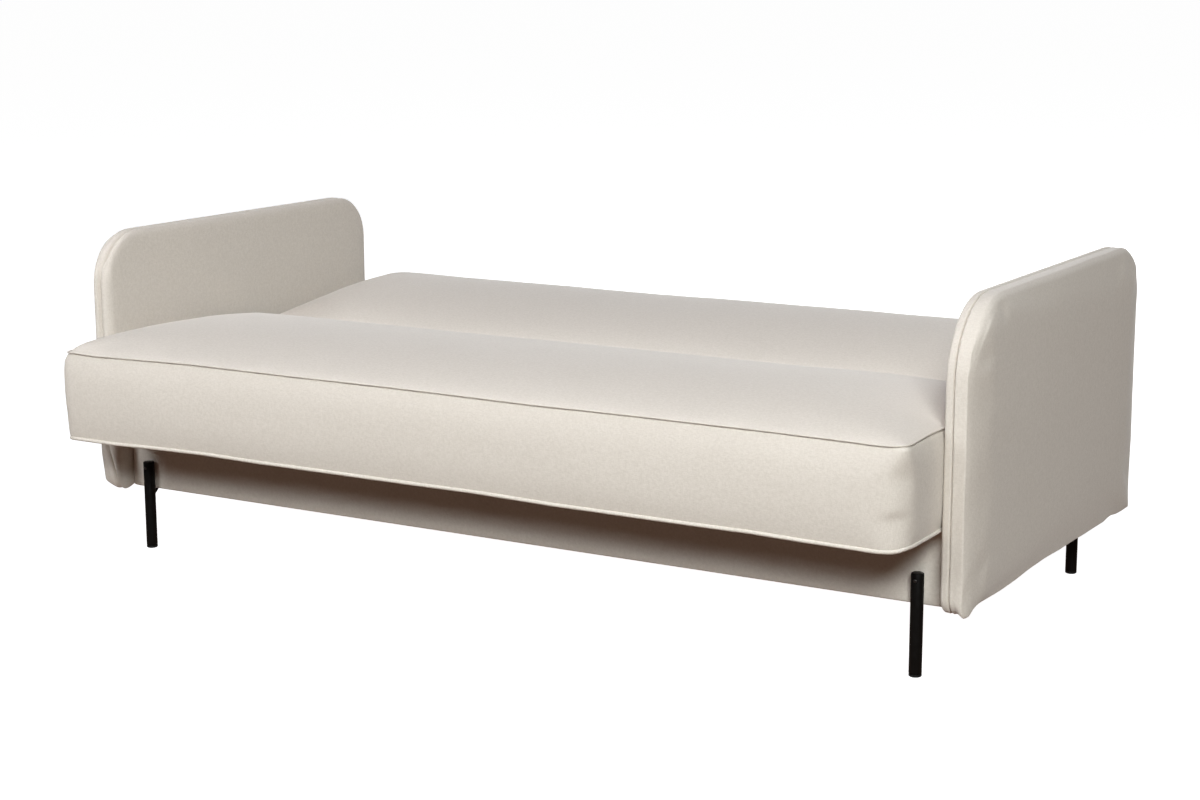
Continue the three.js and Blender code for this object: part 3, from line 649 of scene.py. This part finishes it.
# Arms. Their faces and seams are given as distances from the middle of the sofa bed

INNER_FACE, ARM_SEAM, OUTER_FACE = 0.960, 0.978, 1.020
SEAM_GAP = 0.0001
TOP_LIFT = 0.0020
ARM_STEP = 0.0125

# Corner radii: front bottom, rear bottom, rear top, front top
ARM_RADII = {"left": (0.030, 0.030, 0.100, 0.113), "right": (0.030, 0.030, 0.104, 0.146)}
REAR_FOOT_RADIUS = 0.012  # of the outer pad

# How the covers roll to the seam: (inset, distance from the inner face or from the seam)
INNER_ROLL = {
    "left": ((0.0170, 0.0002), (0.0095, 0.0012), (0.0042, 0.0034), (0.0010, 0.0066),
             (0.0004, 0.0098), (0.0014, 0.0126), (0.0052, 0.0150), (0.0110, 0.0166),
             (0.0155, 0.0179)),
    "right": ((0.0110, 0.0002), (0.0055, 0.0012), (0.0018, 0.0036), (0.0, 0.0075),
              (0.0006, 0.0112), (-0.0006, 0.0140), (0.0002, 0.0160), (0.0016, 0.0174),
              (0.0050, 0.0179)),
}
OUTER_ROLL = {
    "left": ((0.0150, 0.0), (0.0110, 0.0008), (0.0048, 0.0024), (0.0010, 0.0052),
             (0.0, 0.0090), (0.0, 0.0140)),
    "right": ((0.0065, 0.0), (0.0026, 0.0004), (0.0006, 0.0020), (-0.0006, 0.0042),
              (0.0004, 0.0075), (0.0, 0.0120)),
}
OUTER_START = 0.0003  # of the outer pad, from the seam
OUTER_EDGE = {"left": 0.019, "right": 0.013}
EDGE_STEPS = 8
FACE_SWELL = 0.0045

# The pocket of the outer pad takes the board
POCKET_INSET, POCKET_DEPTH, POCKET_LIP = 0.0158, 0.0182, 0.0010
POCKET_RINGS = 2

# How far the right cover's lower edge hangs below the pads, from the front corner on
RIGHT_HEM = ((-0.4675, 0.004), (-0.434, -0.0040), (-0.414, -0.0036), (-0.395, -0.0027),
             (-0.355, -0.0009), (-0.314, 0.0004), (-0.273, 0.0009), (-0.232, 0.0002),
             (-0.189, -0.0011), (-0.146, -0.0032), (-0.102, -0.0037), (-0.057, -0.0040),
             (-0.012, -0.0029), (0.012, -0.0015), (0.131, 0.0006), (0.149, 0.0018),
             (0.224, 0.0029), (0.301, 0.0042), (0.320, 0.0014), (0.339, 0.0004),
             (0.359, 0.0018), (0.380, 0.0054), (0.421, 0.0070), (0.4675, 0.0060))
LEFT_HEM = ((-0.4675, -0.003), (-0.40, 0.001), (0.4675, 0.004))
HEM_REACH = 0.045
TIP_DROP, TIP_PLACE, TIP_WIDTH = 0.0105, -0.4550, 0.0190
RIGHT_INNER_FRONT, LEFT_INNER_FRONT = 0.0080, 0.0075


def sag_hem(points, rect, pocket, side):
    """The cover is folded under the arm, so its lower edge hangs and waves. The fold is tight
    along the outer face. The right one ends in a folded tip at the outer front corner, and the
    left one hangs lowest at the inner corner, where its seam also runs inward. The loops of
    the pocket stay."""
    x, y, z = points.T
    across = np.abs(x)
    moves = np.ones(len(points))
    for loop in pocket:
        moves[loop] = 0
    up = np.clip((z - rect[2]) / HEM_REACH, 0, 1)
    out = ramp(across, 0.985, 0.02)
    front = fade(y, -0.36, 0.09)
    inner = 0.0042 + 0.0010 * np.sin(y * 23) + 0.0008 * np.sin(y * 61 + 2)
    if side == "right":
        tip = ramp(across, 0.9965, 0.003) * np.exp(-((y - TIP_PLACE) / TIP_WIDTH) ** 6)
        hang = read_line(y, RIGHT_HEM) + TIP_DROP * tip
        inner = inner * (1 - front) + RIGHT_INNER_FRONT * front
    else:
        hang = read_line(y, LEFT_HEM) + 0.0012 * np.sin(y * 37)
        inner = inner + LEFT_INNER_FRONT * front
    sharp = (HEM_REACH + hang) * (1 - up ** 2) - HEM_REACH * (1 - up)
    z -= moves * (ease(1 - up) * inner * (1 - out) + sharp * out)
    if side == "left":
        rim = fade(np.minimum(y - rect[0], z - rect[2]), 0.0150, 0.006)
        turn = front * fade(z, 0.245, 0.095)
        near_seam = np.exp(-((across - ARM_SEAM) / 0.016) ** 2)
        x += moves * rim * near_seam * (0.0170 * turn - 0.0085 * (1 - turn))
        x += moves * 0.0055 * out * front * fade(z, 0.215, 0.06)


def arm_pads(side, sign):
    low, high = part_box(f"{side}_arm_outer_pad")
    rect = (low[1], high[1], low[2], high[2] + TOP_LIFT)
    corners = ARM_RADII[side]

    def place(u, v, h):
        return np.stack([sign * h, u, v], axis=1)

    def turned(faces):
        return faces if sign > 0 else [f[::-1] for f in faces]

    # Inner pad: a thin panel whose edge rolls up to the seam
    rings = [(inset, INNER_FACE + depth) for inset, depth in INNER_ROLL[side]]
    pad = Pad(rect, corners, rings, flat_cap(rings[0][1]), flat_cap(ARM_SEAM - SEAM_GAP),
              place, ARM_STEP)
    sag_hem(pad.points, rect, (), side)
    piece = add_mesh(f"{side}_arm_inner_cover", pad.points, turned(pad.faces))
    subdivide(piece)
    finish_piece(piece, CREAM, "base")
    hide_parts(f"{side}_arm_inner_pad")

    # Outer pad: wraps the board, with a tight rounded edge and a soft face
    start, face, edge = ARM_SEAM + OUTER_START, OUTER_FACE - FACE_SWELL, OUTER_EDGE[side]
    outline = (corners[0], REAR_FOOT_RADIUS) + corners[2:]
    board = tuple(max(r - POCKET_INSET, 0.001) + POCKET_INSET for r in corners)
    rings = [(POCKET_INSET, start + depth, board) for depth in (POCKET_DEPTH, POCKET_LIP)]
    rings += [(inset, start + depth) for inset, depth in OUTER_ROLL[side]]
    held = len(rings) + 1
    for k in range(EDGE_STEPS):
        angle = k / (EDGE_STEPS - 1) * math.pi / 2
        rings.append((edge * (1 - math.cos(angle)), face - edge * (1 - math.sin(angle))))

    def soft_face(u, v):
        inset = np.minimum(np.minimum(u - rect[0], rect[1] - u),
                           np.minimum(v - rect[2], rect[3] - v))
        rise = np.clip((inset - 0.012) / 0.075, 0, 1)
        return face + FACE_SWELL * rise * (2 - rise)

    pad = Pad(rect, outline, rings, flat_cap(start + POCKET_DEPTH), soft_face, place, ARM_STEP)
    points = pad.points
    wander = soft_noise(points, 4.5, 20 + sign, octaves=3)
    fine = soft_noise(points, 14.0, 23 + sign)
    depth = np.clip((np.abs(points[:, 0]) - face + 0.012) / 0.012, 0, 1)
    points[:, 0] += sign * depth * (0.0014 * wander + 0.0005 * fine - 0.0012)
    near_front = np.clip(1 - (points[:, 1] - rect[0]) / 0.045, 0, 1) ** 2
    points[:, 0] -= sign * depth * 0.0062 * near_front
    sag_hem(points, rect, pad.loops[:POCKET_RINGS], side)
    piece = add_mesh(f"{side}_arm_outer_cover", points, turned(pad.faces))
    swell(piece, pad.held(held), pressure=1.5, most=0.003)
    subdivide(piece)
    finish_piece(piece, CREAM, "base")
    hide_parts(f"{side}_arm_outer_pad")


for side, sign in SIDES:
    arm_pads(side, sign)


# Plinth

PLINTH_ROUND = ((0.004, 0.0), (0.0012, 0.0012), (0.0, 0.004))
PLINTH_RADIUS = 0.003
PLINTH_GIVE = 0.0006


def plinth_panel(word):
    low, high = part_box(f"plinth_{word}_panel")
    rect = (low[0], high[0], low[2], high[2])
    y0, y1 = low[1], high[1]

    def place(u, v, h):
        return np.stack([u, -h, v], axis=1)

    rings = [(inset, -y1 + depth) for inset, depth in PLINTH_ROUND]
    rings += [(inset, -y0 - depth) for inset, depth in reversed(PLINTH_ROUND)]
    pad = Pad(rect, (PLINTH_RADIUS,) * 4, rings, flat_cap(-y1), flat_cap(-y0), place, 0.0125)
    points = pad.points
    y = points[:, 1]
    wander = soft_noise(points, 9.0, 31)
    outer = y < y0 + 0.002 if word == "front" else y > y1 - 0.002
    y += np.where(outer, -np.sign(y) * PLINTH_GIVE * (1 + wander), 0)
    piece = add_mesh(f"plinth_{word}_cover", points, pad.faces)
    finish_piece(piece, CREAM, "base")
    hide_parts(f"plinth_{word}_panel")


for word in ("front", "rear"):
    plinth_panel(word)


# Dust covers

def dust_cover(prefix, body):
    low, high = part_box(f"{prefix}_dust_cover")
    rect = (low[0], high[0], low[1], high[1])

    def rippled(height):
        def cap(u, v):
            ripple = np.array([noise.noise(Vector((a * 9, b * 9, 4.0))) for a, b in zip(u, v)])
            return height + 0.0004 * (1 + ripple)
        return cap

    rings = [(0.0005, low[2] + 0.0004), (0.0, low[2] + 0.0008), (0.0005, low[2] + 0.0012)]
    pad = Pad(rect, (0.002,) * 4, rings, rippled(low[2] + 0.0002), rippled(low[2] + 0.0010),
              lying, 0.03)
    piece = add_mesh(f"{prefix}_lining", pad.points, pad.faces)
    finish_piece(piece, LINING, body)
    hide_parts(f"{prefix}_dust_cover")


dust_cover("seat", "seat")
dust_cover("back", "backrest")


# Nodes of the frame that stay, with their finishes

def finish_nodes():
    for name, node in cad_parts.items():
        if "rail" in name or name in ("box_left_panel", "box_right_panel"):
            low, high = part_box(name)
            material = TIMBER[int(np.argmax(np.array(high) - np.array(low)))]
        elif "deck" in name or "floor" in name:
            material = PLY
        elif "board" in name:
            material = TIMBER[1]
        elif "glide" in name:
            material = PLASTIC
        elif "_leg" in name:
            material = BLACK
        elif any(word in name for word in ("bolt", "link", "arm", "leaf", "pawl", "bracket")):
            material = ZINC
        else:
            continue
        node.data.materials.clear()
        node.data.materials.append(material)


finish_nodes()


# Front legs

TUBE_RADIUS, TUBE_SIDES = 0.012, 32
TUBE_INSET = 0.0015  # from the outer end of the CAD leg
TUBE_FOOT = ((0.0102, 0.0), (0.0114, 0.0006), (TUBE_RADIUS, 0.0020), (TUBE_RADIUS, 0.0500),
             (TUBE_RADIUS, 0.1000))
TUBE_TOP = ((TUBE_RADIUS, 0.0022), (0.0115, 0.0008), (0.0104, 0.0))
MOUNT_BACK, MOUNT_GAP, MOUNT_THICK = 0.0250, 0.0002, 0.0028
WEB_START, WEB_HALF = 0.0112, 0.0016
SCREW_DROP = 0.0130
SCREW_HEAD = ((0.0010, 0.0016), (0.0024, 0.0013), (0.0032, 0.0004), (0.0034, -0.0006))


def turned_piece(name, profile, centre, axis, sides=24):
    """A solid of revolution. profile lists (radius, distance) along the axis."""
    axis = Vector(axis).normalized()
    across = axis.orthogonal().normalized()
    third = axis.cross(across)
    points, faces = [Vector(centre) + axis * profile[0][1]], []
    for radius, distance in profile:
        for k in range(sides):
            angle = 2 * math.pi * k / sides
            points.append(Vector(centre) + axis * distance
                          + (across * math.cos(angle) + third * math.sin(angle)) * radius)
    points.append(Vector(centre) + axis * profile[-1][1])
    last = len(points) - 1
    for k in range(sides):
        m = (k + 1) % sides
        faces.append((0, 1 + m, 1 + k))
        for ring in range(len(profile) - 1):
            a = 1 + ring * sides
            faces.append((a + k, a + m, a + sides + m, a + sides + k))
        a = 1 + (len(profile) - 1) * sides
        faces.append((a + k, a + m, last))
    return add_mesh(name, points, faces)


def plate(name, low, high, edge=0.0008, radius=0.004):
    """A flat plate with a small round on its edges."""
    rect = (low[0], high[0], low[1], high[1])
    rings = [(edge, low[2]), (0.0, low[2] + edge), (0.0, high[2] - edge), (edge, high[2])]
    pad = Pad(rect, (radius,) * 4, rings, flat_cap(low[2]), flat_cap(high[2]), lying, 0.006)
    return add_mesh(name, pad.points, pad.faces)


def join(name, pieces):
    points, faces, smooth = [], [], []
    for piece in pieces:
        start = len(points)
        points += [tuple(v.co) for v in piece.data.vertices]
        faces += [tuple(start + i for i in f.vertices) for f in piece.data.polygons]
        smooth += [f.use_smooth for f in piece.data.polygons]
        bpy.data.objects.remove(piece)
    whole = add_mesh(name, points, faces)
    whole.data.polygons.foreach_set("use_smooth", smooth)
    return whole


def front_leg(side, sign):
    """A tube in front of the plinth, welded through a small web to a plate screwed under it."""
    low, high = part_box(f"front_{side}_leg")
    panel_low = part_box("plinth_front_panel")[0]
    x = sign * (max(abs(low[0]), abs(high[0])) - TUBE_INSET - TUBE_RADIUS)
    y = low[1] + TUBE_RADIUS
    top, foot = high[2], low[2]
    profile = TUBE_FOOT + tuple((radius, top - foot - drop) for radius, drop in TUBE_TOP)
    tube_leg = turned_piece("tube", profile, (x, y, foot), UP, TUBE_SIDES)
    back, under = y + MOUNT_BACK, panel_low[2] - MOUNT_GAP
    mount = plate("mount", (low[0], back, under - MOUNT_THICK), (high[0], high[1], under))
    outline = ((y + WEB_START, under), (back + 0.004, under - MOUNT_THICK),
               (back + 0.0005, under - 0.0042), (y + 0.0150, under - 0.0140),
               (y + WEB_START, under - 0.0150))
    count = len(outline)
    points = [(x + side_x, py, pz) for side_x in (-WEB_HALF, WEB_HALF) for py, pz in outline]
    faces = [tuple(range(count))[::-1], tuple(range(count, 2 * count))]
    faces += [(k, (k + 1) % count, count + (k + 1) % count, count + k) for k in range(count)]
    web = add_mesh("web", points, faces, smooth=False)
    leg = join(f"front_{side}_leg_welded", (tube_leg, mount, web))
    finish_piece(leg, BLACK, "base")
    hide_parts(f"front_{side}_leg")
    head = turned_piece(f"front_{side}_leg_screw", SCREW_HEAD,
                        (x, y - TUBE_RADIUS, top - SCREW_DROP), (0, -1, 0))
    finish_piece(head, SCREW, "base")


for side, sign in SIDES:
    front_leg(side, sign)


# Camera, lights and floor

SENSOR = 36.0  # width in millimetres
PHOTO_WIDTH, FOCAL_LENGTH = 1200, 2224.7  # in pixels
CAMERA_PLACE = (2.3628, -4.0184, 1.2718)
LOOKS_DOWN, LOOKS_LEFT, ROLLS = 11.24, 30.51, -0.18  # in degrees

# Name, place, target, size, watts and colour
LIGHTS = (
    ("right", (3.82, -5.55, 4.05), (0, -0.3, 0.3), (2.2, 2.0), 505, (0.953, 0.997, 1.0)),
    ("left", (-2.44, -4.64, 2.80), (0, -0.3, 0.3), (1.4, 1.4), 108, (0.927, 0.969, 1.0)),
    ("overhead", (-0.3, -1.4, 4.6), (0, 0, 0.4), (3.0, 2.0), 46, (0.985, 0.880, 1.0)),
    ("behind", (-1.2, 5.8, 1.4), (0, 0.3, 0.3), (3.2, 1.6), 110, (0.97, 0.97, 1.0)),
)
GLOW = rgb(1.0, 0.640, 0.485)
GLOW_BY_HEIGHT = {"From Min": -0.35, "From Max": 0.05, "To Min": 0.24, "To Max": 0.002}
FLOOR_HALF = 400.0
BACKDROP_RADIUS, BACKDROP_LOW, BACKDROP_HIGH, BACKDROP_SIDES = 90, -1.0, 120.0, 48
PALE, PALE_GLOW = 0.43, 0.985


def camera():
    data = bpy.data.cameras.new("camera")
    data.sensor_width = SENSOR
    data.lens = FOCAL_LENGTH / PHOTO_WIDTH * SENSOR
    data.clip_start, data.clip_end = 0.05, 100
    view = bpy.data.objects.new("camera", data)
    view.location = CAMERA_PLACE
    turn = Euler((math.radians(90 - LOOKS_DOWN), 0, math.radians(LOOKS_LEFT)), "XYZ")
    roll = Euler((0, 0, math.radians(ROLLS)), "XYZ")
    view.rotation_euler = (turn.to_matrix() @ roll.to_matrix()).to_euler()
    scene.collection.objects.link(view)
    scene.camera = view


def area_light(name, location, target, size, power, colour):
    data = bpy.data.lights.new(name, "AREA")
    data.shape = "RECTANGLE"
    data.size, data.size_y = size
    data.energy = power
    data.color = colour
    light = bpy.data.objects.new(name, data)
    light.location = location
    light.rotation_euler = (Vector(target) - Vector(location)).to_track_quat("-Z", "Y").to_euler()
    scene.collection.objects.link(light)


def white_floor():
    size = FLOOR_HALF
    corners = [(-size, -size, 0), (size, -size, 0), (size, size, 0), (-size, size, 0)]
    floor = add_mesh("floor", corners, [(0, 1, 2, 3)], smooth=False)
    m = Shader("floor_pale")
    tone = m.range(m.noise(1.5, detail=3.0), 0.3, 0.7, to_low=PALE - 0.01, to_high=PALE + 0.01)
    shade = m.node("ShaderNodeCombineColor", {0: tone, 1: tone, 2: tone}).outputs[0]
    m.set(Base_Color=shade, Roughness=0.9, Emission_Strength=PALE_GLOW)
    m.set(Emission_Color=rgb(1, 1, 1))
    floor.data.materials.append(m.material)
    floor.visible_diffuse = floor.visible_glossy = False


def backdrop():
    """A pale wall far off, for views that look past the floor."""
    count = BACKDROP_SIDES
    angles = np.linspace(0, 2 * math.pi, count, endpoint=False)
    points = [(BACKDROP_RADIUS * math.cos(a), BACKDROP_RADIUS * math.sin(a), z)
              for z in (BACKDROP_LOW, BACKDROP_HIGH) for a in angles]
    faces = [(k, (k + 1) % count, count + (k + 1) % count, count + k) for k in range(count)]
    wall = add_mesh("backdrop", points, faces, smooth=False)
    m = Shader("backdrop_pale")
    m.set(Base_Color=rgb(PALE, PALE, PALE), Roughness=0.9, Emission_Strength=PALE_GLOW)
    m.set(Emission_Color=rgb(1, 1, 1))
    wall.data.materials.append(m.material)
    wall.visible_diffuse = wall.visible_glossy = wall.visible_shadow = False


def floor_glow():
    """A warm glow from below stands for the light that comes back from the floor."""
    world = bpy.data.worlds.new("studio")
    scene.world = world
    world.use_nodes = True
    tree = world.node_tree
    background = tree.nodes["Background"]
    coords = tree.nodes.new("ShaderNodeTexCoord").outputs["Generated"]
    height = tree.nodes.new("ShaderNodeSeparateXYZ")
    tree.links.new(coords, height.inputs[0])
    lit = tree.nodes.new("ShaderNodeMapRange")
    tree.links.new(height.outputs["Z"], lit.inputs["Value"])
    for socket, value in GLOW_BY_HEIGHT.items():
        lit.inputs[socket].default_value = value
    background.inputs["Color"].default_value = GLOW
    tree.links.new(lit.outputs[0], background.inputs["Strength"])


camera()
white_floor()
backdrop()
floor_glow()
for light in LIGHTS:
    area_light(*light)
scene.view_settings.view_transform = "Standard"
